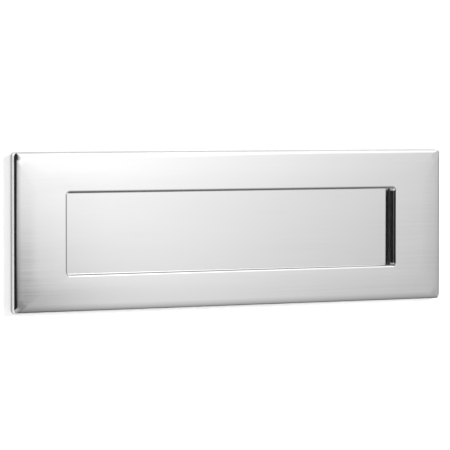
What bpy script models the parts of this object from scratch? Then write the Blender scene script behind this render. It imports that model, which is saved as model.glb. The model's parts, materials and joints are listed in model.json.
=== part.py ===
"""A letter plate for a door: a polished face plate with a sprung flap behind its opening.

X runs along the plate, +Y goes into the door, -Y is the street side and +Z is up. The origin is the
centre of the plate, on the plane where the plate's back rim meets the door. "Left" is -X, as seen
from the street. The flap hangs on a rod above the opening and swings into the door.
"""

import math

import bmesh
import bpy
from mathutils import Matrix, Vector

MM = 0.001
GAP = 0.3 * MM  # clearance between pieces that touch
SIDES = 20  # sides of a round piece
CORNER_STEPS = 5  # points along each rounded corner

# Face plate
PLATE_LENGTH = 254 * MM
PLATE_HEIGHT = 79.4 * MM
PLATE_DEPTH = 3.6 * MM
PLATE_CORNER = 1.6 * MM
SOFT_EDGE_WIDTH = 4 * MM  # the front falls away over this width, all round
SOFT_EDGE_DROP = 1 * MM
SOFT_EDGE_STEPS = 6
BACK_RIM = 3 * MM  # width of the outer rim that bears on the door
WEB_BACK = -1.8 * MM  # y of the hollow's floor
OPENING_LENGTH = 194.8 * MM
OPENING_HEIGHT = 40.4 * MM
OPENING_Z = -0.8 * MM  # the opening's middle, a little below the plate's
OPENING_CORNER = 1.2 * MM
OPENING_ROUND = 1.4 * MM  # rounding of the opening's front edge
OPENING_ROUND_STEPS = 5
OPENING_DRAFT = 5  # degrees: its walls close in a little towards the back, as a casting's do
OPENING_RIM = 5 * MM  # width of the rim behind the opening

# Flap
FLAP_LENGTH = 202 * MM
FLAP_TOP = 24.4 * MM
FLAP_BOTTOM = -25.4 * MM
FLAP_FRONT = 1.1 * MM  # y of its front face
FLAP_THICKNESS = 2.4 * MM
KNUCKLE_RADIUS = 3 * MM
KNUCKLE_LENGTH = 8 * MM
KNUCKLES_AT = (-97 * MM, -38 * MM, 38 * MM, 97 * MM)  # middles along X

# Springs
WIRE_RADIUS = 0.5 * MM
COIL_RADIUS = 2.45 * MM
COIL_TURNS = 7
COIL_OUTER_END = 92 * MM  # x of the end whose leg presses on the flap
COIL_PITCH = 1.35 * MM
POINTS_PER_TURN = 12
FLAP_LEG_END_Z = 9 * MM
PLATE_LEG_ANGLE = 230  # degrees round the rod where the other leg leaves the coil, from +Y towards +Z

# Hinge rod: behind the flap by what the springs' legs need to lie along the flap's back
ROD_RADIUS = 1.5 * MM
ROD_Y = FLAP_FRONT + FLAP_THICKNESS + GAP + WIRE_RADIUS + COIL_RADIUS
ROD_Z = 27 * MM

# Brackets and their screws
BRACKET_THICKNESS = 1.3 * MM
BRACKET_FLANGE = (86.0 * MM, 103.1 * MM, 30.6 * MM, 35.8 * MM)  # x and z limits of the right one
EAR_THICKNESS = 1.5 * MM
EAR_RADIUS = 3.4 * MM
SCREW_X = (90.0 * MM, 98.0 * MM)
SCREW_Z = 33.2 * MM
SCREW_RADIUS = 1.25 * MM
SCREW_LENGTH = 4.4 * MM
SCREW_HEAD_RADIUS = 2.3 * MM
SCREW_HEAD_HEIGHT = 1.6 * MM
SCREW_BOSS_RADIUS = 2.8 * MM

# Clips in the rod's grooves
GROOVE_WIDTH = 1.1 * MM
GROOVE_RADIUS = 1.05 * MM
CLIP_THICKNESS = 0.5 * MM
CLIP_RADIUS = 3.2 * MM
ROD_OVERHANG = 1.6 * MM  # of the rod past its grooves

# Rubber buffers, in pockets of the opening's rim
BUFFER_X = 85 * MM
BUFFER_Z = -23.6 * MM
BUFFER_RADIUS = 1.2 * MM
BUFFER_PROUD = 0.8 * MM
POCKET_DEPTH = 1.2 * MM

# Fixings through the door
DOOR_THICKNESS = 44 * MM
STUD_X = 115 * MM
STUD_RADIUS = 2.5 * MM
STUD_START = -1.2 * MM
STUD_END = 51.5 * MM
BOSS_RADIUS = 4.6 * MM
BOSS_END = 6 * MM
WASHER_RADIUS = 6 * MM
WASHER_THICKNESS = 1.2 * MM
NUT_FLATS = 8 * MM  # width across the hexagon
NUT_HEIGHT = 4 * MM
DOME_RADIUS = 3.7 * MM
DOME_HEIGHT = 4.6 * MM

CHROME = ((0.86, 0.87, 0.88), 0.08, 1.0)
STEEL = ((0.62, 0.63, 0.65), 0.30, 1.0)
SPRING_STEEL = ((0.50, 0.50, 0.52), 0.35, 1.0)
RUBBER = ((0.03, 0.03, 0.03), 0.80, 0.0)

SIDES_OF_PLATE = {"left": -1, "right": 1}


def clear_scene():
    for thing in list(bpy.data.objects):
        bpy.data.objects.remove(thing, do_unlink=True)


def new_collection(name):
    made = bpy.data.collections.new(name)
    bpy.context.scene.collection.children.link(made)
    return made


def new_object(name, data, into):
    made = bpy.data.objects.new(name, data)
    into.objects.link(made)
    return made


def material(name, look):
    colour, roughness, metallic = look
    made = bpy.data.materials.new(name)
    made.use_nodes = True
    shader = made.node_tree.nodes["Principled BSDF"]
    shader.inputs["Base Color"].default_value = (*colour, 1)
    shader.inputs["Roughness"].default_value = roughness
    shader.inputs["Metallic"].default_value = metallic
    return made


def finish(piece, look, smooth=True):
    """Give a piece its own material, and shade its rounded faces smooth."""
    piece.data.materials.clear()
    piece.data.materials.append(material(piece.name, look))
    if smooth:
        piece.data.shade_smooth()
        piece.data.set_sharp_from_angle(angle=math.radians(35))
    return piece


def mesh_from(bm, name, into):
    mesh = bpy.data.meshes.new(name)
    bmesh.ops.recalc_face_normals(bm, faces=bm.faces)
    bm.to_mesh(mesh)
    bm.free()
    return new_object(name, mesh, into)


def cylinder(name, radius, start, end, x, z, into, sides=SIDES, far_radius=None):
    """A round piece along Y, from y = start to y = end."""
    bm = bmesh.new()
    bmesh.ops.create_cone(
        bm, cap_ends=True, segments=sides, radius1=radius,
        radius2=radius if far_radius is None else far_radius, depth=end - start,
    )
    turn = Matrix.Rotation(-math.pi / 2, 4, "X")
    bmesh.ops.transform(bm, matrix=Matrix.Translation((x, (start + end) / 2, z)) @ turn, verts=bm.verts)
    return mesh_from(bm, name, into)


def box(name, low, high, into):
    bm = bmesh.new()
    bmesh.ops.create_cube(bm, size=1)
    size = [b - a for a, b in zip(low, high)]
    middle = [(a + b) / 2 for a, b in zip(low, high)]
    bmesh.ops.transform(bm, matrix=Matrix.Translation(middle) @ Matrix.Diagonal((*size, 1)), verts=bm.verts)
    return mesh_from(bm, name, into)


def combine(piece, other, how):
    """Apply an exact Boolean to a piece, and remove the other object."""
    step = piece.modifiers.new(how.lower(), "BOOLEAN")
    step.operation = how
    step.solver = "EXACT"
    step.object = other
    bpy.context.view_layer.update()
    result = bpy.data.meshes.new_from_object(piece.evaluated_get(bpy.context.evaluated_depsgraph_get()))
    piece.modifiers.clear()
    piece.data = result
    bpy.data.objects.remove(other, do_unlink=True)
    return piece


def extruded(name, outlines, thickness, placing, into):
    """A flat piece from closed outlines, an outer one and its holes, as a mesh."""
    curve = bpy.data.curves.new(name, "CURVE")
    curve.dimensions = "2D"
    curve.fill_mode = "BOTH"
    curve.extrude = thickness / 2
    for outline in outlines:
        spline = curve.splines.new("POLY")
        spline.points.add(len(outline) - 1)
        for point, (u, v) in zip(spline.points, outline):
            point.co = (u, v, 0, 1)
        spline.use_cyclic_u = True
    flat = new_object(name + "_outline", curve, into)
    flat.matrix_world = placing
    return to_mesh(flat, name, into)


def to_mesh(curve_object, name, into):
    """The mesh of a curve object, closed and in world places. The curve is removed."""
    bpy.context.view_layer.update()
    seen = curve_object.evaluated_get(bpy.context.evaluated_depsgraph_get())
    mesh = bpy.data.meshes.new_from_object(seen)
    mesh.transform(curve_object.matrix_world)
    bm = bmesh.new()
    bm.from_mesh(mesh)
    bmesh.ops.remove_doubles(bm, verts=bm.verts, dist=0.002 * MM)
    bmesh.ops.recalc_face_normals(bm, faces=bm.faces)
    bm.to_mesh(mesh)
    bm.free()
    bpy.data.objects.remove(curve_object, do_unlink=True)
    mesh.name = name
    return new_object(name, mesh, into)


def circle(u, v, radius, sides=SIDES):
    turn = 2 * math.pi / sides
    return [(u + radius * math.cos(k * turn), v + radius * math.sin(k * turn)) for k in range(sides)]


def arc(u, v, radius, start, end, steps):
    """Points of an arc from one angle to another, in degrees."""
    angles = [math.radians(start + (end - start) * k / steps) for k in range(steps + 1)]
    return [(u + radius * math.cos(a), v + radius * math.sin(a)) for a in angles]


def rounded_rectangle(half_length, half_height, corner):
    outline = []
    for k, (u, v) in enumerate([(1, 1), (-1, 1), (-1, -1), (1, -1)]):
        middle = (u * (half_length - corner), v * (half_height - corner))
        outline += arc(*middle, corner, 90 * k, 90 * k + 90, CORNER_STEPS)
    return outline


def plate_sections():
    """The rounded rectangles of the plate's cross-section, in order round it: (inset, corner, y).

    The inset is counted inwards from the outer edge. The walk goes up the side, over the soft edge
    and the face, into the opening, back along the rim behind it, and round the hollow.
    """
    front = -PLATE_DEPTH
    sections = [("outer", 0, PLATE_CORNER, 0)]
    for k in range(SOFT_EDGE_STEPS + 1):
        turn = math.pi / 2 * k / SOFT_EDGE_STEPS
        inset = SOFT_EDGE_WIDTH * (1 - math.cos(turn))
        y = front + SOFT_EDGE_DROP * (1 - math.sin(turn))
        sections.append(("outer", inset, PLATE_CORNER + inset * 0.6, y))
    for k in range(OPENING_ROUND_STEPS + 1):
        turn = math.pi / 2 * k / OPENING_ROUND_STEPS
        out = OPENING_ROUND * (1 - math.sin(turn))
        y = front + OPENING_ROUND * (1 - math.cos(turn))
        sections.append(("opening", out, OPENING_CORNER + out, y))
    closing = (PLATE_DEPTH - OPENING_ROUND) * math.tan(math.radians(OPENING_DRAFT))
    sections.append(("opening", -closing, OPENING_CORNER - closing, 0))
    sections.append(("opening", OPENING_RIM, OPENING_CORNER + OPENING_RIM, 0))
    sections.append(("opening", OPENING_RIM, OPENING_CORNER + OPENING_RIM, WEB_BACK))
    sections.append(("outer", BACK_RIM, PLATE_CORNER, WEB_BACK))
    sections.append(("outer", BACK_RIM, PLATE_CORNER, 0))
    return sections


def plate_casting(into):
    """The plate's frame: its sections joined edge to edge, all the way round."""
    bm = bmesh.new()
    rings = []
    for edge, inset, corner, y in plate_sections():
        if edge == "outer":
            half, middle = (PLATE_LENGTH / 2 - inset, PLATE_HEIGHT / 2 - inset), 0
        else:
            half, middle = (OPENING_LENGTH / 2 + inset, OPENING_HEIGHT / 2 + inset), OPENING_Z
        outline = rounded_rectangle(*half, corner)
        rings.append([bm.verts.new((u, y, v + middle)) for u, v in outline])
    for ring, following in zip(rings, rings[1:] + rings[:1]):
        for k in range(len(ring)):
            after = (k + 1) % len(ring)
            bm.faces.new([ring[k], ring[after], following[after], following[k]])
    bmesh.ops.triangulate(bm, faces=bm.faces)
    return mesh_from(bm, "face_plate", into)


def face_plate(parts, cutters):
    plate = plate_casting(parts)
    root = WEB_BACK - 0.6 * MM  # how deep the bosses go into the web
    thread_depth = SCREW_LENGTH - BRACKET_THICKNESS - GAP
    bosses, holes = [], []
    for side in SIDES_OF_PLATE.values():
        x = side * STUD_X
        bosses.append(cylinder("boss", BOSS_RADIUS, root, BOSS_END, x, 0, cutters))
        holes.append(cylinder("hole", STUD_RADIUS + GAP, STUD_START - GAP, BOSS_END + MM, x, 0, cutters))
        x = side * BUFFER_X
        holes.append(cylinder("pocket", BUFFER_RADIUS + GAP, -POCKET_DEPTH, MM, x, BUFFER_Z, cutters, 12))
        for x in SCREW_X:
            boss = cylinder("boss", SCREW_BOSS_RADIUS, root, 0, side * x, SCREW_Z, cutters)
            hole = cylinder("hole", SCREW_RADIUS + GAP, -thread_depth, MM, side * x, SCREW_Z, cutters, 12)
            bosses.append(boss)
            holes.append(hole)
    for boss in bosses:
        combine(plate, boss, "UNION")
    for hole in holes:
        combine(plate, hole, "DIFFERENCE")
    return finish(plate, CHROME)


def across_rod(x):
    """The placing of a flat piece that stands across the rod at x. Its outline's own u and v are y and z."""
    return Matrix.Translation((x, 0, 0)) @ Matrix(((0, 0, 1), (1, 0, 0), (0, 1, 0))).to_4x4()


def knuckle_outline():
    """A knuckle in the plane across the rod: a lug that stands up from the flap's back and ends round."""
    front = FLAP_FRONT + 0.4 * MM
    back = FLAP_FRONT + FLAP_THICKNESS - 0.4 * MM
    outline = [(front, FLAP_TOP - 6 * MM), (front, FLAP_TOP - 0.4 * MM)]
    outline += arc(ROD_Y, ROD_Z, KNUCKLE_RADIUS, 125, -55, 14)
    outline.append((back, FLAP_TOP - 8 * MM))
    return outline


def flap(parts, cutters):
    low = (-FLAP_LENGTH / 2, FLAP_FRONT, FLAP_BOTTOM)
    high = (FLAP_LENGTH / 2, FLAP_FRONT + FLAP_THICKNESS, FLAP_TOP)
    piece = box("flap", low, high, parts)
    for x in KNUCKLES_AT:
        knuckle = extruded("knuckle", [knuckle_outline()], KNUCKLE_LENGTH, across_rod(x), cutters)
        combine(piece, knuckle, "UNION")
    bore_outline = circle(ROD_Y, ROD_Z, ROD_RADIUS + GAP, 16)
    bore = extruded("bore", [bore_outline], FLAP_LENGTH + 4 * MM, across_rod(0), cutters)
    combine(piece, bore, "DIFFERENCE")
    axis = Vector((0, ROD_Y, ROD_Z))
    piece.data.transform(Matrix.Translation(-axis))
    piece.location = axis
    return finish(piece, CHROME)


def turned(name, profile, placing, into, sides=SIDES):
    """A turned piece round its own Z axis. The profile is (z, radius), from the top down."""
    mesh = bpy.data.meshes.new(name)
    edges = [(k, k + 1) for k in range(len(profile) - 1)]
    mesh.from_pydata([(radius, 0, z) for z, radius in profile], edges, [])
    piece = new_object(name, mesh, into)
    turn = piece.modifiers.new("turn", "SCREW")
    turn.steps = sides
    turn.render_steps = sides
    turn.use_merge_vertices = True
    turn.merge_threshold = 0.001 * MM
    piece.matrix_world = placing
    return piece


def groove_start():
    """x where the right-hand groove of the rod starts, just outside the bracket's ear."""
    ear_outer_face = BRACKET_FLANGE[1]
    return ear_outer_face + 0.1 * MM


def rod_half():
    return groove_start() + GROOVE_WIDTH + ROD_OVERHANG


def hinge_rod(parts):
    chamfer = 0.4 * MM
    half, start = rod_half(), groove_start()
    right = [
        (half, 0), (half, ROD_RADIUS - chamfer), (half - chamfer, ROD_RADIUS),
        (start + GROOVE_WIDTH, ROD_RADIUS), (start + GROOVE_WIDTH, GROOVE_RADIUS),
        (start, GROOVE_RADIUS), (start, ROD_RADIUS),
    ]
    left = [(-x, radius) for x, radius in reversed(right)]
    placing = Matrix.Translation((0, ROD_Y, ROD_Z)) @ Matrix.Rotation(math.pi / 2, 4, "Y")
    rod = turned("hinge_rod", right + left, placing, parts)
    return finish(rod, STEEL)


def hinge_bracket(name, side, parts, cutters):
    """A flange on the plate's back, with an ear at its outer end that holds the rod."""
    low_x, high_x, low_z, high_z = BRACKET_FLANGE
    length, height = (high_x - low_x) / 2, (high_z - low_z) / 2
    middle = (low_x + high_x) / 2
    outline = [(u + side * middle, v + low_z + height) for u, v in rounded_rectangle(length, height, 0.8 * MM)]
    holes = [circle(side * x, SCREW_Z, SCREW_RADIUS + GAP, 12) for x in SCREW_X]
    flange_y = GAP + BRACKET_THICKNESS / 2
    lying = Matrix.Translation((0, flange_y, 0)) @ Matrix.Rotation(math.pi / 2, 4, "X")
    bracket = extruded(name, [outline, *holes], BRACKET_THICKNESS, lying, parts)
    ear_outline = [(GAP, high_z - 0.4 * MM), (GAP, ROD_Z - 0.5 * MM)]
    ear_outline += arc(ROD_Y, ROD_Z, EAR_RADIUS, 225, 400, 14)
    ear_outline += [(GAP + BRACKET_THICKNESS + 1 * MM, high_z - 0.4 * MM)]
    bore = circle(ROD_Y, ROD_Z, ROD_RADIUS + GAP, 16)
    standing = across_rod(side * (high_x - EAR_THICKNESS / 2))
    ear = extruded("ear", [ear_outline, bore], EAR_THICKNESS, standing, cutters)
    combine(bracket, ear, "UNION")
    return finish(bracket, STEEL)


def bracket_screw(name, x, parts, cutters):
    """A pan head screw with a cross recess, its shank pointing to the front of the plate."""
    head_start = GAP + BRACKET_THICKNESS + GAP
    head_end = head_start + SCREW_HEAD_HEIGHT
    screw = cylinder(
        name, SCREW_HEAD_RADIUS, head_start, head_end, x, SCREW_Z, parts,
        sides=16, far_radius=SCREW_HEAD_RADIUS * 0.75,
    )
    shank = cylinder(
        "shank", SCREW_RADIUS, head_start - SCREW_LENGTH + BRACKET_THICKNESS,
        head_start + 0.5 * MM, x, SCREW_Z, cutters, sides=12,
    )
    combine(screw, shank, "UNION")
    arm, blade = 1.25 * MM, 0.28 * MM
    for across, up in ((arm, blade), (blade, arm)):
        low = (x - across, head_end - 0.9 * MM, SCREW_Z - up)
        high = (x + across, head_end + 1 * MM, SCREW_Z + up)
        combine(screw, box("recess", low, high, cutters), "DIFFERENCE")
    return finish(screw, STEEL)


def rod_clip(name, side, parts):
    """An open ring that sits in the rod's groove, with its mouth pointing down."""
    inner = GROOVE_RADIUS + GAP
    mouth = 30
    outline = arc(ROD_Y, ROD_Z, CLIP_RADIUS, -90 + mouth, 270 - mouth, 20)
    outline += arc(ROD_Y, ROD_Z, inner, 270 - mouth, -90 + mouth, 16)
    placing = across_rod(side * (groove_start() + GROOVE_WIDTH / 2))
    return finish(extruded(name, [outline], CLIP_THICKNESS, placing, parts), STEEL)


def spring_points(side):
    """The wire's middle line: up the flap's back, round the rod, and on to the plate's web."""
    end = PLATE_LEG_ANGLE - 360 * COIL_TURNS
    count = round((180 - end) / 360 * POINTS_PER_TURN)
    coil = []
    for k, (y, z) in enumerate(arc(ROD_Y, ROD_Z, COIL_RADIUS, 180, end, count)):
        turned_by = (180 - end) / 360 * k / count
        coil.append(Vector((side * (COIL_OUTER_END - COIL_PITCH * turned_by), y, z)))
    drop = Vector((0, 0, FLAP_LEG_END_Z - ROD_Z))
    leg = [coil[0] + drop * share for share in (1, 0.66, 0.33)]
    onward = Vector((0, math.sin(math.radians(end)), -math.cos(math.radians(end))))
    reach = (WEB_BACK + GAP + WIRE_RADIUS - coil[-1].y) / onward.y
    foot = [coil[-1] + onward * reach * share for share in (0.5, 1)]
    return leg + coil + foot


def torsion_spring(name, side, parts):
    curve = bpy.data.curves.new(name, "CURVE")
    curve.dimensions = "3D"
    curve.bevel_depth = WIRE_RADIUS
    curve.bevel_resolution = 2
    curve.use_fill_caps = True
    points = spring_points(side)
    spline = curve.splines.new("POLY")
    spline.points.add(len(points) - 1)
    for point, place in zip(spline.points, points):
        point.co = (*place, 1)
    wire = new_object(name + "_line", curve, parts)
    return finish(to_mesh(wire, name, parts), SPRING_STEEL)


def flap_buffer(name, side, parts):
    piece = cylinder(
        name, BUFFER_RADIUS, GAP - POCKET_DEPTH, BUFFER_PROUD, side * BUFFER_X, BUFFER_Z, parts, sides=12
    )
    return finish(piece, RUBBER)


def fixing_stud(name, side, parts):
    chamfer = 0.6 * MM
    profile = [
        (STUD_END, 0), (STUD_END, STUD_RADIUS - chamfer), (STUD_END - chamfer, STUD_RADIUS),
        (STUD_START + chamfer, STUD_RADIUS), (STUD_START, STUD_RADIUS - chamfer), (STUD_START, 0),
    ]
    placing = Matrix.Translation((side * STUD_X, 0, 0)) @ Matrix.Rotation(-math.pi / 2, 4, "X")
    return finish(turned(name, profile, placing, parts), STEEL)


def washer(name, side, parts, cutters):
    start = DOOR_THICKNESS
    x = side * STUD_X
    piece = cylinder(name, WASHER_RADIUS, start, start + WASHER_THICKNESS, x, 0, parts, sides=28)
    hole = cylinder("hole", STUD_RADIUS + GAP, start - MM, start + 3 * MM, x, 0, cutters)
    combine(piece, hole, "DIFFERENCE")
    return finish(piece, STEEL)


def dome_nut(name, side, parts, cutters):
    """A hexagon with a domed top, bored from the washer's side for the stud."""
    start = DOOR_THICKNESS + WASHER_THICKNESS + GAP
    x = side * STUD_X
    corner = NUT_FLATS / math.sqrt(3)
    nut = cylinder(name, corner, start, start + NUT_HEIGHT, x, 0, parts, sides=6)
    bm = bmesh.new()
    bmesh.ops.create_uvsphere(bm, u_segments=SIDES, v_segments=12, radius=1)
    shape = Matrix.Diagonal((DOME_RADIUS, DOME_HEIGHT, DOME_RADIUS, 1))
    turn = Matrix.Rotation(-math.pi / 2, 4, "X")
    dome_y = start + NUT_HEIGHT - 0.2 * MM  # the dome starts just inside the hexagon's end
    place = Matrix.Translation((x, dome_y, 0))
    bmesh.ops.transform(bm, matrix=place @ shape @ turn, verts=bm.verts)
    dome = mesh_from(bm, "dome", cutters)
    reach = 2 * DOME_RADIUS
    half_space = box("below", (x - reach, dome_y - reach, -reach), (x + reach, dome_y, reach), cutters)
    combine(dome, half_space, "DIFFERENCE")
    combine(nut, dome, "UNION")
    bore = cylinder("bore", STUD_RADIUS + GAP, start - MM, STUD_END + 0.5 * MM, x, 0, cutters)
    combine(nut, bore, "DIFFERENCE")
    return finish(nut, CHROME)


def build():
    clear_scene()
    parts = new_collection("letter_plate")
    cutters = new_collection("cutters")
    face_plate(parts, cutters)
    flap(parts, cutters)
    hinge_rod(parts)
    for place, side in SIDES_OF_PLATE.items():
        hinge_bracket(f"hinge_bracket_{place}", side, parts, cutters)
        for which, x in zip(("inner", "outer"), SCREW_X):
            bracket_screw(f"bracket_screw_{place}_{which}", side * x, parts, cutters)
        rod_clip(f"rod_clip_{place}", side, parts)
        torsion_spring(f"torsion_spring_{place}", side, parts)
        flap_buffer(f"flap_buffer_{place}", side, parts)
        fixing_stud(f"fixing_stud_{place}", side, parts)
        washer(f"washer_{place}", side, parts, cutters)
        dome_nut(f"dome_nut_{place}", side, parts, cutters)


build()
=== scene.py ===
"""Looks of the letter plate: fine geometry, plated and cast surfaces, a pale studio and the camera.

Lengths are in metres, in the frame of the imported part: X along the plate, +Y into the door, +Z up, with
the street side at -Y.
"""

import json
import math

import bmesh
import bpy
from mathutils import Matrix, Vector


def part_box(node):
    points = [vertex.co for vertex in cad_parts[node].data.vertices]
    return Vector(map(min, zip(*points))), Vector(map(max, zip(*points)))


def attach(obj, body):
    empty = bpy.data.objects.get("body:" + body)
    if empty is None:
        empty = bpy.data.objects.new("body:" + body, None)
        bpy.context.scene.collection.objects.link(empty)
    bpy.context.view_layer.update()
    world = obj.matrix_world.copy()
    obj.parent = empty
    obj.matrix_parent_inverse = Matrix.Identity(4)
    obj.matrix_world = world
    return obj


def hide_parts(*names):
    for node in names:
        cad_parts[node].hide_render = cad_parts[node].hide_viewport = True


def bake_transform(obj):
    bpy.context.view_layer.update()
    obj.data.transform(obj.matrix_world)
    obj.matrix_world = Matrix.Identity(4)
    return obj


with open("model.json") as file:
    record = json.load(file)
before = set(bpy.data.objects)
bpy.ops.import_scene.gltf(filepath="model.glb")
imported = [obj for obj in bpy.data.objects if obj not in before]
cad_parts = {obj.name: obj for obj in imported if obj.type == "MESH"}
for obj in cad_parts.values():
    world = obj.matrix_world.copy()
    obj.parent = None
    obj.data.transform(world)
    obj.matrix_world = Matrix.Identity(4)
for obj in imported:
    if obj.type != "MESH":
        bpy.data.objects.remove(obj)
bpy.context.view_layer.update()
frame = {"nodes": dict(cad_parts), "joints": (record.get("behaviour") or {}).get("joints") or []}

MM = 0.001
GAP = 0.3 * MM

# Sizes that the frame's boxes don't give
SOFT_EDGE_WIDTH = 4 * MM  # the front falls away over this width, all round
SOFT_EDGE_DROP = 1 * MM
CROWN_WIDTH = 9 * MM  # the buffed face falls away a little further in than its soft edge
CROWN_DROP = 0.05 * MM
PLATE_CORNER = 1.6 * MM
BACK_RIM = 3 * MM  # width of the outer rim that bears on the door
WEB_BACK = -1.8 * MM  # y of the hollow's floor
STUD_BOSS_RADIUS = 4.6 * MM
SCREW_BOSS_RADIUS = 2.8 * MM
SCREW_HOLE_RADIUS = 1.55 * MM
SCREW_HOLE_START = -2.8 * MM  # y of its blind end
OPENING_LENGTH = 194.8 * MM
OPENING_HEIGHT = 40.4 * MM
OPENING_Z = -0.8 * MM  # the opening's middle, a little below the plate's
OPENING_CORNER = 1.2 * MM
OPENING_ROUND = 1.4 * MM  # rounding of the opening's front edge
OPENING_DRAFT = 5  # degrees
OPENING_RIM = 5 * MM  # width of the rim behind the opening
DOOR_SLOT = (214 * MM, 73 * MM)
THREAD_PITCH = 0.8 * MM
THREAD_DEPTH = 0.45 * MM
WIRE_RADIUS = 0.5 * MM
COIL_RADIUS = 2.45 * MM
COIL_TURNS = 7
PLATE_LEG_ANGLE = 230  # degrees round the rod where the leg on the plate leaves the coil

PLATE_LOW, PLATE_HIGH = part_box("face_plate")
HINGE = Vector(frame["joints"][0]["pos_m"])
SIDES = {"left": -1, "right": 1}

PANEL_STRENGTH = 1.18  # of the brightest panel that the plate's face mirrors
LEAST_SEEN = 0.012  # brightness of the darkest thing that the chrome mirrors
MATT_STRENGTH = 0.45  # of the world's light on surfaces that aren't glossy
WHITE = (1, 1, 1, 1)

# The board that stands for the door's face, and the floor
BOARD_HALF_LENGTH = 1.6
BOARD_LOW, BOARD_HIGH = -0.42, 1.4
FLOOR_HALF_LENGTH = 2.4
PAINTED_SHADE_REACH = 0.8 * MM  # how far from the plate the board's painted contact shade reaches

# Camera: the photograph's viewing angle, in degrees, and lens, in millimetres
CAMERA_YAW = 30.54
CAMERA_PITCH = 2.19
CAMERA_ROLL = 0.05
CAMERA_DISTANCE = 1.6
CAMERA_LENS = 249.2
CAMERA_ASIDE = -5.7 * MM
CAMERA_UP = 1.85 * MM


# ---------------------------------------------------------------- node graphs


class Graph:
    """A short way to write a node tree: each call adds a node and gives its main output."""

    def __init__(self, tree):
        self.tree = tree

    def add(self, kind, inputs=None, output=0, **settings):
        node = self.tree.nodes.new(kind)
        for name, value in settings.items():
            setattr(node, name, value)
        for name, value in (inputs or {}).items():
            socket = node.inputs[name]
            if isinstance(value, bpy.types.NodeSocket):
                self.tree.links.new(value, socket)
            else:
                socket.default_value = value
        return node.outputs[output]

    def math(self, operation, a, b=0.0):
        return self.add("ShaderNodeMath", {0: a, 1: b}, operation=operation)

    def times(self, *factors):
        product = factors[0]
        for factor in factors[1:]:
            product = self.math("MULTIPLY", product, factor)
        return product

    def blend(self, share, first, second):
        """The first where the share is 0, and the second where it is 1."""
        rest = self.math("SUBTRACT", 1.0, share)
        return self.math("ADD", self.times(first, rest), self.times(second, share))

    def scale(self, vector, factors):
        return self.add("ShaderNodeVectorMath", {0: vector, 1: factors}, operation="MULTIPLY")

    def noise(self, vector, scale, detail=3.0, roughness=0.55):
        inputs = {"Vector": vector, "Scale": scale, "Detail": detail, "Roughness": roughness}
        return self.add("ShaderNodeTexNoise", inputs)

    def span(self, value, low, high, to_low, to_high, how="LINEAR"):
        inputs = {"Value": value, 1: low, 2: high, 3: to_low, 4: to_high}
        return self.add("ShaderNodeMapRange", inputs, interpolation_type=how)

    def ramp(self, value, stops):
        node = self.tree.nodes.new("ShaderNodeValToRGB")
        while len(node.color_ramp.elements) < len(stops):
            node.color_ramp.elements.new(0.5)
        for element, (at, colour) in zip(node.color_ramp.elements, stops):
            element.position = at
            element.color = (*colour, 1)
        self.tree.links.new(value, node.inputs[0])
        return node.outputs[0]


def new_material(name, **sockets):
    """A Principled material, its graph, and its shader node. Uniform values go on the shader's sockets."""
    made = bpy.data.materials.new(name)
    made.use_nodes = True
    shader = made.node_tree.nodes["Principled BSDF"]
    for socket, value in sockets.items():
        shader.inputs[socket.replace("_", " ")].default_value = value
    return made, Graph(made.node_tree), shader


def connect(graph, shader, **links):
    for socket, value in links.items():
        graph.tree.links.new(value, shader.inputs[socket.replace("_", " ")])


def bump(graph, height, distance, strength=1.0, normal=None):
    inputs = {"Height": height, "Distance": distance, "Strength": strength}
    if normal is not None:
        inputs["Normal"] = normal
    return graph.add("ShaderNodeBump", inputs)


def polished_chrome(name="polished_chrome", bright=1.0):
    """Bright chrome over buffed metal: long fine polishing lines and a faint wave."""
    made, g, shader = new_material(name, Metallic=1.0)
    place = g.add("ShaderNodeTexCoord", output=3)
    lines = g.noise(g.scale(place, (14, 60, 900)), 1.0, 4.0, 0.6)
    fine = g.noise(g.scale(place, (60, 300, 5200)), 1.0, 3.0, 0.6)
    cloud = g.noise(place, 22.0, 3.0)
    wave = g.noise(g.scale(place, (9, 9, 26)), 1.0, 2.0, 0.4)
    tone = g.math("ADD", g.math("MULTIPLY", lines, 0.6), g.math("MULTIPLY", cloud, 0.4))
    dull, clear = 0.85 * bright, 0.89 * bright
    colour = g.ramp(tone, [(0.3, (dull, dull, dull)), (0.7, (clear, clear, clear))])
    rough = g.span(g.math("ADD", lines, g.math("MULTIPLY", cloud, 0.5)), 0.5, 1.0, 0.05, 0.11)
    height = g.math("ADD", g.math("MULTIPLY", lines, 0.5), g.math("MULTIPLY", fine, 0.25))
    normal = bump(g, height, 0.00002, 0.13)
    normal = bump(g, wave, 0.0004, 0.10, normal)
    connect(g, shader, Base_Color=colour, Roughness=rough, Normal=normal)
    return made


def cast_back(name="cast_back"):
    """The plate's unpolished back: plated over the casting's grain, dull and slightly uneven."""
    made, g, shader = new_material(name, Metallic=1.0)
    place = g.add("ShaderNodeTexCoord", output=3)
    grain = g.noise(place, 1800.0, 4.0, 0.65)
    cloud = g.noise(place, 40.0, 4.0)
    colour = g.ramp(cloud, [(0.3, (0.50, 0.50, 0.50)), (0.7, (0.64, 0.64, 0.65))])
    rough = g.span(grain, 0.3, 0.7, 0.32, 0.52)
    height = g.math("ADD", grain, g.math("MULTIPLY", cloud, 0.6))
    connect(g, shader, Base_Color=colour, Roughness=rough, Normal=bump(g, height, 0.00012, 0.55))
    return made


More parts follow.
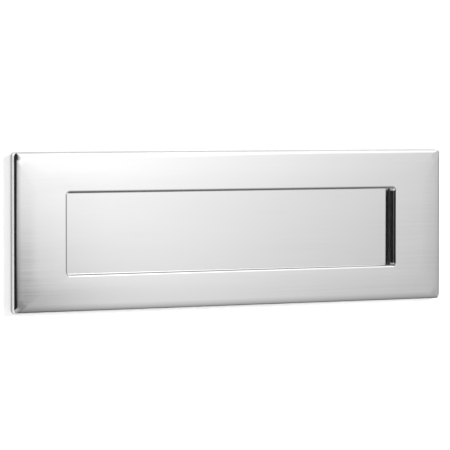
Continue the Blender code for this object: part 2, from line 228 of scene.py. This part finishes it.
def zinc_plate(name="zinc_plate"):
    """Bright zinc on pressed and turned steel: a cool grey with soft spangles and handling marks."""
    made, g, shader = new_material(name, Metallic=1.0)
    place = g.add("ShaderNodeTexCoord", output=3)
    spangle = g.add("ShaderNodeTexVoronoi", {"Vector": place, "Scale": 700.0, "Randomness": 1.0}, output=1)
    cells = g.add("ShaderNodeSeparateColor", {"Color": spangle})
    cloud = g.noise(place, 160.0, 4.0)
    marks = g.noise(g.scale(place, (300, 2400, 2400)), 1.0, 3.0, 0.6)
    tone = g.math("ADD", g.math("MULTIPLY", cells, 0.3), g.math("MULTIPLY", cloud, 0.7))
    colour = g.ramp(tone, [(0.25, (0.53, 0.54, 0.56)), (0.75, (0.70, 0.71, 0.73))])
    rough = g.span(g.math("ADD", marks, g.math("MULTIPLY", cloud, 0.5)), 0.5, 1.0, 0.22, 0.40)
    connect(g, shader, Base_Color=colour, Roughness=rough, Normal=bump(g, marks, 0.00003, 0.5))
    return made


def spring_wire(name="spring_wire"):
    """Drawn spring wire under a film of oil: darker steel with fine draw marks."""
    made, g, shader = new_material(name, Metallic=1.0, Coat_Weight=0.25, Coat_Roughness=0.12)
    place = g.add("ShaderNodeTexCoord", output=3)
    cloud = g.noise(place, 260.0, 4.0)
    marks = g.noise(g.scale(place, (900, 2600, 2600)), 1.0, 4.0, 0.65)
    colour = g.ramp(cloud, [(0.3, (0.36, 0.355, 0.35)), (0.7, (0.52, 0.515, 0.51))])
    rough = g.span(marks, 0.3, 0.7, 0.24, 0.42)
    connect(g, shader, Base_Color=colour, Roughness=rough, Normal=bump(g, marks, 0.00003, 0.5))
    return made


def black_rubber(name="black_rubber"):
    made, g, shader = new_material(name, Specular_IOR_Level=0.35)
    place = g.add("ShaderNodeTexCoord", output=3)
    grain = g.noise(place, 3200.0, 4.0, 0.7)
    bloom = g.noise(place, 500.0, 3.0)
    colour = g.ramp(bloom, [(0.3, (0.018, 0.018, 0.018)), (0.75, (0.05, 0.05, 0.052))])
    rough = g.span(grain, 0.3, 0.7, 0.62, 0.85)
    connect(g, shader, Base_Color=colour, Roughness=rough, Normal=bump(g, grain, 0.00004, 0.6))
    return made


# ---------------------------------------------------------------- mesh tools


def new_object(name, mesh):
    made = bpy.data.objects.new(name, mesh)
    bpy.context.scene.collection.objects.link(made)
    return made


def object_from(bm, name):
    mesh = bpy.data.meshes.new(name)
    bm.to_mesh(mesh)
    bm.free()
    return new_object(name, mesh)


def paint(piece, *materials):
    """Set a piece's materials. Faces keep their own slot numbers."""
    numbers = [face.material_index for face in piece.data.polygons]
    piece.data.materials.clear()
    for one in materials:
        piece.data.materials.append(one)
    piece.data.polygons.foreach_set("material_index", numbers)


def shade(piece, angle=32):
    piece.data.shade_smooth()
    piece.data.set_sharp_from_angle(angle=math.radians(angle))


def apply_modifiers(piece):
    bpy.context.view_layer.update()
    seen = piece.evaluated_get(bpy.context.evaluated_depsgraph_get())
    mesh = bpy.data.meshes.new_from_object(seen)
    piece.modifiers.clear()
    piece.data = mesh


def combine(piece, other, how):
    step = piece.modifiers.new(how, "BOOLEAN")
    step.operation = how
    step.solver = "EXACT"
    step.object = other
    apply_modifiers(piece)
    bpy.data.objects.remove(other, do_unlink=True)


def soften(piece, width, angle=30):
    """Round a piece's sharp edges, and keep its flat faces flat in the shading."""
    step = piece.modifiers.new("soften", "BEVEL")
    step.width = width
    step.segments = 2
    step.limit_method = "ANGLE"
    step.angle_limit = math.radians(angle)
    step.harden_normals = False
    apply_modifiers(piece)
    weigh(piece)


def weigh(piece):
    piece.data.shade_smooth()
    piece.data.set_sharp_from_angle(angle=math.radians(50))
    step = piece.modifiers.new("weigh", "WEIGHTED_NORMAL")
    step.mode = "FACE_AREA"
    step.weight = 50
    step.keep_sharp = True


def copy_of_node(node, name):
    """A new piece with a CAD node's mesh, its flat faces merged, to be finished further."""
    mesh = frame["nodes"][node].data.copy()
    bm = bmesh.new()
    bm.from_mesh(mesh)
    bmesh.ops.remove_doubles(bm, verts=bm.verts, dist=0.002 * MM)
    bmesh.ops.dissolve_limit(bm, angle_limit=math.radians(1), verts=bm.verts, edges=bm.edges)
    bm.to_mesh(mesh)
    bm.free()
    if "custom_normal" in mesh.attributes:
        mesh.attributes.remove(mesh.attributes["custom_normal"])
    return new_object(name, mesh)


def circle_arc(u, v, radius, start, end, steps):
    angles = [math.radians(start + (end - start) * k / steps) for k in range(steps + 1)]
    return [(u + radius * math.cos(a), v + radius * math.sin(a)) for a in angles]


def rounded_rectangle(half_length, half_height, corner, steps=14):
    outline = []
    for k, (u, v) in enumerate([(1, 1), (-1, 1), (-1, -1), (1, -1)]):
        middle = (u * (half_length - corner), v * (half_height - corner))
        outline += circle_arc(*middle, corner, 90 * k, 90 * k + 90, steps)
    return outline


def cylinder_y(name, radius, start, end, x, z, sides=64):
    bm = bmesh.new()
    bmesh.ops.create_cone(
        bm, cap_ends=True, segments=sides, radius1=radius, radius2=radius, depth=end - start
    )
    turn = Matrix.Rotation(-math.pi / 2, 4, "X")
    bmesh.ops.transform(bm, matrix=Matrix.Translation((x, (start + end) / 2, z)) @ turn, verts=bm.verts)
    bmesh.ops.recalc_face_normals(bm, faces=bm.faces)
    return object_from(bm, name)


def threaded_rod(name, radius, low, high, x, z, pitch, depth, around=36, per_pitch=6):
    """A rod along Y with a real helical thread. Rows of points follow the helix, cut flat at both ends."""
    length = high - low
    rows = math.ceil(length / pitch + 1) * per_pitch
    chamfer = depth * 1.3
    bm = bmesh.new()
    grid = []
    for r in range(rows + 1):
        ring = []
        for k in range(around):
            turn = 2 * math.pi * k / around
            y = low + pitch * (r / per_pitch - 1 + k / around)
            y = min(max(y, low), high)
            phase = (r / per_pitch) % 1
            crest = min(1, max(0, 2.4 * abs(phase - 0.5) - 0.1))
            here = radius - depth * crest
            from_end = min(y - low, high - y)
            here = min(here, radius - chamfer + from_end)
            ring.append(bm.verts.new((x + here * math.cos(turn), y, z + here * math.sin(turn))))
        grid.append(ring)
    for r in range(rows):
        for k in range(around):
            if k + 1 < around:
                quad = [grid[r][k], grid[r + 1][k], grid[r + 1][k + 1], grid[r][k + 1]]
            elif r + 1 + per_pitch <= rows:
                quad = [grid[r][k], grid[r + 1][k], grid[r + 1 + per_pitch][0], grid[r + per_pitch][0]]
            else:
                continue
            bm.faces.new(quad)
    bmesh.ops.remove_doubles(bm, verts=bm.verts, dist=0.004 * MM)
    bmesh.ops.holes_fill(bm, edges=bm.edges, sides=0)
    bmesh.ops.recalc_face_normals(bm, faces=bm.faces)
    return object_from(bm, name)


# ---------------------------------------------------------------- pieces


def plate_sections():
    """The plate's cross-section, as rounded rectangles in order round it: (edge, inset, corner, y, slot).

    Insets run inwards from the outer edge, or outwards from the opening. Slot 0 is polished, 1 is cast.
    """
    front = PLATE_LOW.y
    edge_steps, round_steps = 18, 12
    widening = 0.6  # how fast the corner's radius grows inwards
    fillet = 0.15 * MM
    sections = [("outer", 0, PLATE_CORNER, -fillet, 0)]
    for k in range(edge_steps + 1):
        turn = math.pi / 2 * k / edge_steps
        inset = SOFT_EDGE_WIDTH * (1 - math.cos(turn))
        y = front + CROWN_DROP + (SOFT_EDGE_DROP - CROWN_DROP) * (1 - math.sin(turn))
        sections.append(("outer", inset, PLATE_CORNER + inset * widening, y, 0))
    for k in range(1, edge_steps + 1):
        share = k / edge_steps
        inset = SOFT_EDGE_WIDTH + CROWN_WIDTH * share
        y = front + CROWN_DROP * (1 - share) ** 2
        sections.append(("outer", inset, PLATE_CORNER + inset * widening, y, 0))
    for k in range(round_steps + 1):
        turn = math.pi / 2 * k / round_steps
        out = OPENING_ROUND * (1 - math.sin(turn))
        y = front + OPENING_ROUND * (1 - math.cos(turn))
        sections.append(("opening", out, OPENING_CORNER + out, y, 0))
    rim, hollow = OPENING_CORNER + OPENING_RIM, PLATE_CORNER
    closing = (-front - OPENING_ROUND) * math.tan(math.radians(OPENING_DRAFT))
    sections += [
        ("opening", -closing, OPENING_CORNER - closing, -fillet, 0),
        ("opening", fillet - closing, OPENING_CORNER + fillet - closing, 0, 1),
        ("opening", OPENING_RIM - fillet, rim - fillet, 0, 1),
        ("opening", OPENING_RIM, rim, -fillet, 1),
        ("opening", OPENING_RIM, rim, WEB_BACK + 2 * fillet, 1),
        ("opening", OPENING_RIM + 2 * fillet, rim + 2 * fillet, WEB_BACK, 1),
        ("outer", BACK_RIM + 2 * fillet, hollow, WEB_BACK, 1),
        ("outer", BACK_RIM, hollow, WEB_BACK + 2 * fillet, 1),
        ("outer", BACK_RIM, hollow, -fillet, 1),
        ("outer", BACK_RIM - fillet, hollow, 0, 1),
        ("outer", fillet, PLATE_CORNER, 0, 0),
    ]
    return sections


def plate_frame():
    """The casting without its bosses and holes: its cross-section carried round the opening."""
    bm = bmesh.new()
    rings, slots = [], []
    for edge, inset, corner, y, slot in plate_sections():
        if edge == "outer":
            half, middle = (PLATE_HIGH.x - inset, PLATE_HIGH.z - inset), 0
        else:
            half, middle = (OPENING_LENGTH / 2 + inset, OPENING_HEIGHT / 2 + inset), OPENING_Z
        rings.append([bm.verts.new((u, y, v + middle)) for u, v in rounded_rectangle(*half, corner)])
        slots.append(slot)
    for ring, following, slot in zip(rings, rings[1:] + rings[:1], slots):
        for k in range(len(ring)):
            after = (k + 1) % len(ring)
            face = bm.faces.new([ring[k], ring[after], following[after], following[k]])
            face.material_index = slot
    bmesh.ops.recalc_face_normals(bm, faces=bm.faces)
    return object_from(bm, "plate_casting")


def face_plate(chrome, cast):
    plate = plate_frame()
    paint(plate, chrome, cast)
    root = WEB_BACK - 0.6 * MM  # bosses start inside the web
    holes = []
    for place, side in SIDES.items():
        stud_low, stud_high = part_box(f"fixing_stud_{place}")
        stud = (stud_low + stud_high) / 2
        stud_radius = (stud_high.x - stud_low.x) / 2
        boss = cylinder_y("boss", STUD_BOSS_RADIUS, root, PLATE_HIGH.y, stud.x, 0)
        soften_boss(boss)
        paint_all(boss, 1)
        combine(plate, boss, "UNION")
        holes.append(cylinder_y("hole", stud_radius + GAP, stud_low.y - GAP, 1, stud.x, 0))
        low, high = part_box(f"flap_buffer_{place}")
        middle = (low + high) / 2
        holes.append(cylinder_y("pocket", (high.x - low.x) / 2 + GAP, low.y - GAP, 1, middle.x, middle.z))
        for which in ("inner", "outer"):
            low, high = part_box(f"bracket_screw_{place}_{which}")
            middle = (low + high) / 2
            boss = cylinder_y("boss", SCREW_BOSS_RADIUS, root, 0, middle.x, middle.z)
            paint_all(boss, 1)
            combine(plate, boss, "UNION")
            holes.append(cylinder_y("hole", SCREW_HOLE_RADIUS, SCREW_HOLE_START, 1, middle.x, middle.z))
    for hole in holes:
        paint_all(hole, 1)
        combine(plate, hole, "DIFFERENCE")
    weigh(plate)
    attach(plate, "plate")
    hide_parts("face_plate")
    return plate


def paint_all(piece, slot):
    """Put all of a cutter's or boss's faces in one material slot, so that the Boolean keeps it."""
    for _ in range(slot + 1):
        piece.data.materials.append(None)
    for face in piece.data.polygons:
        face.material_index = slot


def soften_boss(boss):
    step = boss.modifiers.new("soften", "BEVEL")
    step.width = 0.4 * MM
    step.segments = 3
    step.limit_method = "ANGLE"
    apply_modifiers(boss)


def finished_copy(node, name, body, material, width, angle=30):
    """A CAD node's shape with its edges rounded, standing for that node."""
    piece = copy_of_node(node, name)
    piece.data.materials.clear()
    piece.data.materials.append(material)
    soften(piece, width, angle)
    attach(piece, body)
    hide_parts(node)
    return piece


def torsion_spring(place, side, wire):
    """A spring wound on the rod, its legs on the flap's back and on the plate."""
    low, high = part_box(f"torsion_spring_{place}")
    outer, inner = (high.x, low.x) if side > 0 else (low.x, high.x)
    outer, inner = outer - side * WIRE_RADIUS, inner + side * WIRE_RADIUS
    end = PLATE_LEG_ANGLE - 360 * COIL_TURNS
    count = 40 * COIL_TURNS
    coil = []
    for k, (y, z) in enumerate(circle_arc(HINGE.y, HINGE.z, COIL_RADIUS, 180, end, count)):
        coil.append(Vector((outer + (inner - outer) * k / count, y, z)))
    leg = [coil[0] + Vector((0, 0, (low.z - HINGE.z) * share)) for share in (1, 0.75, 0.5, 0.25, 0.06)]
    onward = Vector((0, math.sin(math.radians(end)), -math.cos(math.radians(end))))
    reach = (WEB_BACK + GAP + WIRE_RADIUS - coil[-1].y) / onward.y
    foot = [coil[-1] + onward * reach * share for share in (0.1, 0.4, 0.7, 1)]
    curve = bpy.data.curves.new("spring", "CURVE")
    curve.dimensions = "3D"
    curve.bevel_depth = WIRE_RADIUS
    curve.bevel_resolution = 5
    curve.use_fill_caps = True
    points = leg + coil + foot
    spline = curve.splines.new("POLY")
    spline.points.add(len(points) - 1)
    for point, at in zip(spline.points, points):
        point.co = (*at, 1)
    line = bpy.data.objects.new("spring_line", curve)
    bpy.context.scene.collection.objects.link(line)
    bpy.context.view_layer.update()
    mesh = bpy.data.meshes.new_from_object(line.evaluated_get(bpy.context.evaluated_depsgraph_get()))
    bpy.data.objects.remove(line, do_unlink=True)
    bm = bmesh.new()
    bm.from_mesh(mesh)
    bmesh.ops.remove_doubles(bm, verts=bm.verts, dist=0.001 * MM)
    bm.to_mesh(mesh)
    bm.free()
    piece = new_object(f"spring_{place}", mesh)
    piece.data.materials.clear()
    piece.data.materials.append(wire)
    shade(piece, 50)
    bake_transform(piece)
    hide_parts(f"torsion_spring_{place}")
    return piece


def fixing_stud(place, zinc):
    low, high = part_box(f"fixing_stud_{place}")
    radius = (high.x - low.x) / 2
    x = (high.x + low.x) / 2
    stud = threaded_rod(f"stud_{place}", radius, low.y, high.y, x, 0, THREAD_PITCH, THREAD_DEPTH)
    stud.data.materials.append(zinc)
    shade(stud, 40)
    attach(stud, "plate")
    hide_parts(f"fixing_stud_{place}")
    return stud


# ---------------------------------------------------------------- studio


def door_board():
    """A white board that stands for the door's face, with the door's slot, darkened near the plate by
    painted contact shade. From behind it is clear.
    """
    slot_length, slot_height = DOOR_SLOT[0] / 2, DOOR_SLOT[1] / 2
    xs = [-BOARD_HALF_LENGTH, -slot_length, slot_length, BOARD_HALF_LENGTH]
    zs = [BOARD_LOW, -slot_height, slot_height, BOARD_HIGH]
    bm = bmesh.new()
    grid = [[bm.verts.new((x, GAP, z)) for x in xs] for z in zs]
    for r in range(3):
        for c in range(3):
            if (r, c) != (1, 1):
                bm.faces.new([grid[r][c], grid[r][c + 1], grid[r + 1][c + 1], grid[r + 1][c]])
    wall = object_from(bm, "backdrop_board")
    made = bpy.data.materials.new("white_board")
    made.use_nodes = True
    tree = made.node_tree
    tree.nodes.remove(tree.nodes["Principled BSDF"])
    g = Graph(tree)
    # Painted shade: ambient occlusion darkens the board's glow and colour close to the plate, a painted
    # contact shadow
    painted_contact_shade = g.add("ShaderNodeAmbientOcclusion", {"Distance": PAINTED_SHADE_REACH}, output=1, samples=8)
    tone = g.math("POWER", painted_contact_shade, 1.5)
    glow = g.add("ShaderNodeEmission", {"Color": tone, "Strength": 0.5})
    matt = g.add("ShaderNodeBsdfDiffuse", {"Color": g.times(tone, 0.5)})
    front = g.add("ShaderNodeAddShader", {0: glow, 1: matt})
    clear = g.add("ShaderNodeBsdfTransparent")
    from_behind = g.add("ShaderNodeNewGeometry", output=6)
    both = g.add("ShaderNodeMixShader", {0: from_behind, 1: front, 2: clear})
    tree.links.new(both, tree.nodes["Material Output"].inputs["Surface"])
    wall.data.materials.append(made)


def studio_floor():
    """A pale floor. It glows for the camera only, so it is as white beyond the lights as under them."""
    bm = bmesh.new()
    bmesh.ops.create_grid(bm, x_segments=1, y_segments=1, size=FLOOR_HALF_LENGTH)
    bmesh.ops.translate(bm, verts=bm.verts, vec=(0, 0, BOARD_LOW))
    floor = object_from(bm, "studio_floor")
    pale, g, shader = new_material("pale_floor", Roughness=0.8, Specular_IOR_Level=0.2, Emission_Color=WHITE)
    cloud = g.noise(g.add("ShaderNodeTexCoord", output=3), 3.0, 3.0)
    colour = g.ramp(cloud, [(0.3, (0.84, 0.84, 0.84)), (0.7, (0.88, 0.88, 0.88))])
    seen_directly = g.add("ShaderNodeLightPath", output=0)
    connect(g, shader, Base_Color=colour, Emission_Strength=g.times(seen_directly, 0.6))
    floor.data.materials.append(pale)
    floor.visible_glossy = False


def tent_brightness(g, azimuth, elevation, station):
    """How bright the tent is in each direction, before its overall strength."""
    # The panel in front of the plate dims towards the far right and towards the floor
    right = g.times(g.span(station, 28.5, 35.8, 1.0, 0.54), g.span(station, 45.0, 80.0, 1.0, 0.5))
    panel = g.times(right, g.span(elevation, -3.8, -0.8, 0.755, 1.0))
    # Its lower left corner is in shade, which deepens along a slanting line
    across = g.math("MAXIMUM", station, 26.3)
    down = g.math("MAXIMUM", g.math("ADD", elevation, 2.2), -1.4)
    slant = g.math("ADD", across, g.times(down, 0.8))
    into = g.math("DIVIDE", g.math("MAXIMUM", g.math("SUBTRACT", 29.5, slant), 0.0), 4.1)
    shaded = g.times(g.math("POWER", into, 2.66), 0.58)
    panel = g.times(panel, g.math("SUBTRACT", 1.0, shaded))
    # Further left it fades towards the gap that the camera looks through
    panel = g.times(panel, g.span(azimuth, -2.0, 24.0, 0.5, 1.0))
    # The roof is brighter, but dark overhead. Its lower edge rises to the right
    roof_edge = g.span(station, 28.5, 32.0, 2.0, 14.0)
    above = g.span(g.math("SUBTRACT", elevation, roof_edge), 0.0, 8.0, 0.0, 1.0, "SMOOTHSTEP")
    overhead = g.span(elevation, 40.0, 58.0, 1.0, 0.2, "SMOOTHSTEP")
    roof = g.times(g.span(station, 28.5, 35.8, 1.35, 0.9), g.span(station, 26.2, 28.2, 0.75, 1.0), overhead)
    # It is dimmer far to the left and right
    roof = g.times(roof, g.span(azimuth, -30.0, -14.0, 0.5, 1.0), g.span(station, 38.0, 50.0, 1.0, 0.6))
    tent = g.blend(above, panel, roof)
    # The floor darkens towards the plate's foot
    tent = g.times(tent, g.span(elevation, -55.0, -4.0, 0.08, 1.0))
    # The gap reaches further right as it rises and as it sinks, and ends under the roof, lower on its left
    rising = g.span(elevation, -2.3, 4.0, 0.0, 20.0)
    sinking = g.span(elevation, -3.9, -2.6, 10.0, 0.0)
    lean = g.math("MAXIMUM", rising, sinking)
    right_of_gap = g.span(g.math("SUBTRACT", azimuth, lean), -6.0, 5.0, 1.0, 0.0, "SMOOTHSTEP")
    left_of_gap = g.span(azimuth, -94.0, -76.0, 0.0, 1.0, "SMOOTHSTEP")
    gap_top = g.span(azimuth, -25.0, -12.0, 8.0, 50.0)
    under_roof = g.span(g.math("SUBTRACT", elevation, gap_top), 0.0, 20.0, 1.0, 0.0, "SMOOTHSTEP")
    gap = g.times(left_of_gap, right_of_gap, under_roof, 0.99)
    tent = g.times(tent, g.math("SUBTRACT", 1.0, gap))
    # The floor is lighter on both sides of the stretch below the panel
    stretch = g.times(g.span(station, 12.0, 24.0, 0.0, 1.0), g.span(station, 46.0, 56.0, 1.0, 0.0))
    low = g.span(elevation, -13.0, -8.0, 1.0, 0.0, "SMOOTHSTEP")
    lit = g.times(low, g.math("SUBTRACT", 1.0, stretch))
    far_left = g.span(station, -45.0, -18.0, 0.85, 0.3)
    near = g.span(elevation, -24.0, -15.0, 0.3, 0.45)
    far_right = g.span(station, 46.0, 56.0, 0.0, 0.85)
    floor = g.math("MAXIMUM", g.math("MAXIMUM", far_left, near), far_right)
    tent = g.blend(lit, tent, floor)
    # Behind the plate the tent is an even grey
    behind = g.span(g.math("ABSOLUTE", azimuth), 100.0, 125.0, 0.0, 1.0, "SMOOTHSTEP")
    return g.blend(behind, tent, 0.5)


def surroundings():
    """What the chrome mirrors: a white tent, dimmer at its far ends, a floor, and a dark gap for the camera.

    Azimuth is in degrees from straight in front of the plate, towards +X. Elevation is above the horizon.
    The station is the azimuth that the flat face would mirror there: it stays the same up and down an edge
    that runs along X, so what depends on it follows the place along the plate.
    """
    world = bpy.data.worlds.new("studio")
    bpy.context.scene.world = world
    world.use_nodes = True
    tree = world.node_tree
    tree.nodes.clear()
    g = Graph(tree)
    way = g.add("ShaderNodeTexCoord", output=0)
    split = tree.nodes.new("ShaderNodeSeparateXYZ")
    tree.links.new(way, split.inputs[0])
    x, y, z = split.outputs
    azimuth = g.math("DEGREES", g.math("ARCTAN2", x, g.times(y, -1.0)))
    elevation = g.math("DEGREES", g.math("ARCSINE", z))
    station = g.math("DEGREES", g.math("ARCSINE", x))
    tent = tent_brightness(g, azimuth, elevation, station)
    seen = g.math("ADD", g.times(tent, PANEL_STRENGTH), LEAST_SEEN)
    reflected = g.add("ShaderNodeBackground", {"Color": WHITE, "Strength": seen})
    plain = g.add("ShaderNodeBackground", {"Color": WHITE, "Strength": MATT_STRENGTH})
    backdrop = g.add("ShaderNodeBackground", {"Color": WHITE, "Strength": 1.0})
    seen_directly = g.add("ShaderNodeLightPath", output=0)
    mixed = g.add("ShaderNodeMixShader", {0: seen_directly, 1: plain, 2: backdrop})
    glossy = g.add("ShaderNodeLightPath", output=3)
    mixed = g.add("ShaderNodeMixShader", {0: glossy, 1: mixed, 2: reflected})
    output = tree.nodes.new("ShaderNodeOutputWorld")
    tree.links.new(mixed, output.inputs["Surface"])


def area_light(name, at, size, power, mirrored=False):
    """A soft light aimed at the plate. One that isn't mirrored lights matt surfaces only."""
    data = bpy.data.lights.new(name, "AREA")
    data.shape = "RECTANGLE"
    data.size, data.size_y = size
    data.energy = power
    lamp = bpy.data.objects.new(name, data)
    bpy.context.scene.collection.objects.link(lamp)
    lamp.location = at
    lamp.rotation_euler = (-Vector(at)).to_track_quat("-Z", "Y").to_euler()
    lamp.visible_glossy = mirrored
    lamp.visible_camera = False
    return lamp


def camera():
    """Towards the plate's front, from the street side, a little left and above."""
    yaw, pitch = math.radians(CAMERA_YAW), math.radians(CAMERA_PITCH)
    ahead = Vector((math.sin(yaw) * math.cos(pitch), math.cos(yaw) * math.cos(pitch), -math.sin(pitch)))
    right = Vector((math.cos(yaw), -math.sin(yaw), 0))
    up = right.cross(ahead)
    data = bpy.data.cameras.new("camera")
    data.lens = CAMERA_LENS
    data.clip_start = 0.01
    eye = bpy.data.objects.new("camera", data)
    bpy.context.scene.collection.objects.link(eye)
    middle = Vector((0, PLATE_LOW.y, 0))
    eye.location = middle - ahead * CAMERA_DISTANCE + right * CAMERA_ASIDE + up * CAMERA_UP
    turn = Matrix((right, up, -ahead)).transposed().to_4x4()
    eye.matrix_world = Matrix.Translation(eye.location) @ turn @ Matrix.Rotation(
        math.radians(CAMERA_ROLL), 4, "Z"
    )
    bpy.context.scene.camera = eye


def main():
    chrome, cast, zinc = polished_chrome(), cast_back(), zinc_plate()
    flap_chrome = polished_chrome("flap_chrome", 0.965)
    wire, rubber = spring_wire(), black_rubber()
    face_plate(chrome, cast)
    finished_copy("flap", "flap_leaf", "flap", flap_chrome, 0.25 * MM)
    finished_copy("hinge_rod", "rod", "plate", zinc, 0.08 * MM, 40)
    for place, side in SIDES.items():
        finished_copy(f"hinge_bracket_{place}", f"bracket_{place}", "plate", zinc, 0.15 * MM)
        for which in ("inner", "outer"):
            node = f"bracket_screw_{place}_{which}"
            finished_copy(node, f"screw_{place}_{which}", "plate", zinc, 0.12 * MM)
        finished_copy(f"rod_clip_{place}", f"clip_{place}", "plate", zinc, 0.05 * MM)
        torsion_spring(place, side, wire)
        finished_copy(f"flap_buffer_{place}", f"buffer_{place}", "plate", rubber, 0.15 * MM)
        fixing_stud(place, zinc)
        finished_copy(f"washer_{place}", f"washer_ring_{place}", "plate", zinc, 0.12 * MM)
        finished_copy(f"dome_nut_{place}", f"acorn_nut_{place}", "plate", chrome, 0.2 * MM)
    door_board()
    studio_floor()
    surroundings()
    area_light("key_light", (1.5, -1.0, 0.6), (0.4, 0.4), 60)
    area_light("rear_light", (-0.9, 1.5, 0.9), (0.9, 0.9), 30, mirrored=True)
    area_light("fill_light", (-1.2, -1.2, 0.8), (1.2, 1.2), 4)
    camera()
    bpy.context.scene.view_settings.view_transform = "Standard"


main()
